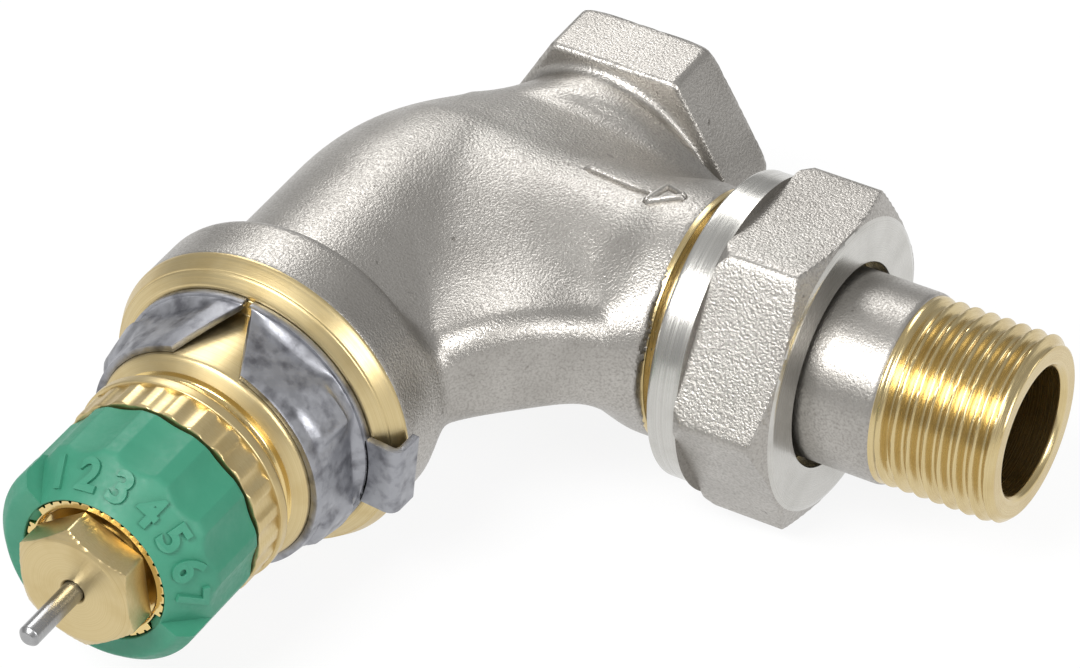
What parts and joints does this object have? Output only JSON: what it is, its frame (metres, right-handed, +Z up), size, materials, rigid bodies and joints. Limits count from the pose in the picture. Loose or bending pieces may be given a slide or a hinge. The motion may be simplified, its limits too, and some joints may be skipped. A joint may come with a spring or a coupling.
{
  "type": "angled radiator valve with pressure regulator",
  "caption": "Angled radiator valve: bent cast body with hexagon inlet, union tailpiece, brass insert with locking clip, numbered setting ring, gland and spring-loaded pin.",
  "frame": {"origin": "centre of the inlet socket's mouth", "axes": "+Y out of the inlet socket, +X out along the union and its tailpiece, +Z up; the head with its setting ring and pin points along -Y"},
  "size_m": [0.091, 0.1068, 0.0358],
  "materials": {
    "nickel": "nickel-plated brass, bead-blasted satin",
    "brass": "turned brass, satin",
    "clip_steel": "zinc-coated sheet steel, dull",
    "pin_steel": "ground steel",
    "spring_steel": "spring wire",
    "green_plastic": "moulded, matte",
    "grey_plastic": "moulded, matte",
    "rubber": "black rubber"
  },
  "bodies": {
    "body": {"valve_body": "nickel", "insert_housing": "brass", "locking_clip": "clip_steel", "housing_o_ring": "rubber", "cartridge_cage": "grey_plastic", "seat_plate": "brass", "diaphragm": "rubber", "control_spring": "spring_steel", "regulator_housing": "grey_plastic", "regulator_o_ring": "rubber"},
    "setting": {"setting_sleeve": "brass", "sleeve_o_ring": "rubber", "retaining_ring": "spring_steel", "gland_nut": "brass", "gland_o_ring": "rubber", "gland_washer": "brass", "throttle_cylinder": "grey_plastic", "spindle_guide": "grey_plastic", "return_spring": "spring_steel"},
    "ring": {"setting_ring": "green_plastic"},
    "pin": {"pressure_pin": "pin_steel", "spindle": "pin_steel", "disc_holder": "brass", "valve_disc": "rubber"},
    "piston": {"regulator_piston": "grey_plastic"},
    "tail": {"tailpiece": "brass"},
    "nut": {"union_nut": "nickel"}
  },
  "joints": [
    {"name": "setting_turn", "type": "hinge", "parent": "body", "child": "setting", "pos_m": [-0.0116, -0.027, 0], "axis": [0, -1, 0], "range_deg": [-63, 84]},
    {"name": "ring_lift", "type": "slide", "parent": "setting", "child": "ring", "axis": [0, -1, 0], "range_m": [0, 0.0025]},
    {"name": "pin_press", "type": "slide", "parent": "setting", "child": "pin", "axis": [0, 1, 0], "range_m": [0, 0.0025], "stiffness_N_per_m": 3000, "deforming": ["return_spring"]},
    {"name": "piston_slide", "type": "slide", "parent": "body", "child": "piston", "axis": [0, 1, 0], "range_m": [0, 0.0015], "stiffness_N_per_m": 1500, "deforming": ["control_spring", "diaphragm"]},
    {"name": "tail_draw", "type": "slide", "parent": "body", "child": "tail", "axis": [1, 0, 0], "range_m": [0, 0.008]},
    {"name": "nut_turn", "type": "hinge", "parent": "tail", "child": "nut", "pos_m": [0.03, -0.027, 0], "axis": [1, 0, 0], "range_deg": [0, 1580]}
  ],
  "couplings": [
    {"joint": "tail_draw", "follows": "nut_turn", "m_per_rad": 0.00028871}
  ]
}
